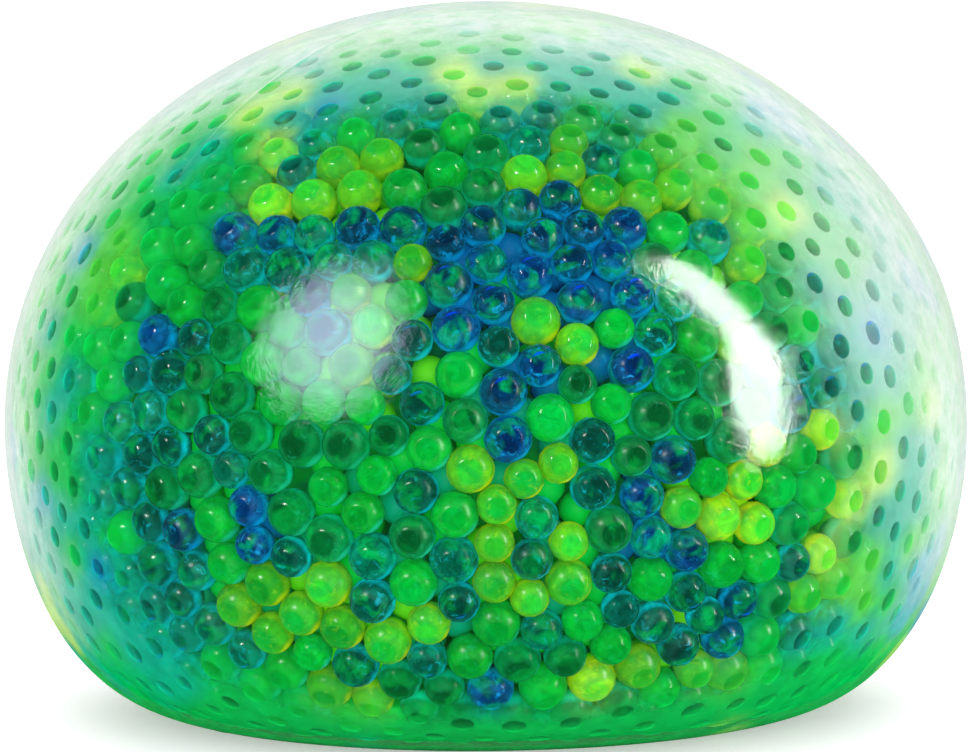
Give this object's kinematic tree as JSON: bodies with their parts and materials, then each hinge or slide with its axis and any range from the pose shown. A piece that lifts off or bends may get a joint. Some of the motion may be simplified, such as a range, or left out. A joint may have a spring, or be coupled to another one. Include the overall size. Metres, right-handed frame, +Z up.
{
  "type": "stress ball",
  "caption": "Clear elastic ball packed with soft water beads in blue, teal, green, lime and yellow, sagging on a flat base, with a filler plug at the back.",
  "frame": {"origin": "centre of the flat base that the ball stands on", "axes": "+Z up through the crown, -Y to the front, +X to the right seen from the front; the filler plug is on the +Y side"},
  "size_m": [0.107, 0.107, 0.0784],
  "materials": {
    "skin": "clear glossy thermoplastic rubber",
    "plug": "milky satin thermoplastic rubber",
    "core": "wet water-bead gel",
    "green": "wet translucent gel",
    "lime": "wet milky gel",
    "yellow": "wet milky gel",
    "teal": "wet clear gel",
    "blue": "wet clear gel"
  },
  "bodies": {
    "root": {"bead_blue_01": "blue", "bead_blue_02": "blue", "bead_blue_03": "blue", "bead_blue_04": "blue", "bead_blue_05": "blue", "bead_blue_06": "blue", "bead_blue_07": "blue", "bead_core": "core", "bead_green_01": "green", "bead_green_02": "green", "bead_green_03": "green", "bead_green_04": "green", "bead_green_05": "green", "bead_green_06": "green", "bead_green_07": "green", "bead_green_08": "green", "bead_green_09": "green", "bead_green_10": "green", "bead_green_11": "green", "bead_green_12": "green", "bead_green_13": "green", "bead_green_14": "green", "bead_green_15": "green", "bead_green_16": "green", "bead_green_17": "green", "bead_green_18": "green", "bead_green_19": "green", "bead_green_20": "green", "bead_lime_01": "lime", "bead_lime_02": "lime", "bead_lime_03": "lime", "bead_lime_04": "lime", "bead_lime_05": "lime", "bead_lime_06": "lime", "bead_teal_01": "teal", "bead_teal_02": "teal", "bead_teal_03": "teal", "bead_teal_04": "teal", "bead_teal_05": "teal", "bead_teal_06": "teal", "bead_teal_07": "teal", "bead_teal_08": "teal", "bead_teal_09": "teal", "bead_teal_10": "teal", "bead_teal_11": "teal", "bead_teal_12": "teal", "bead_teal_13": "teal", "bead_yellow_01": "yellow", "bead_yellow_02": "yellow", "bead_yellow_03": "yellow", "filler_plug": "plug", "skin": "skin"}
  },
  "joints": []
}
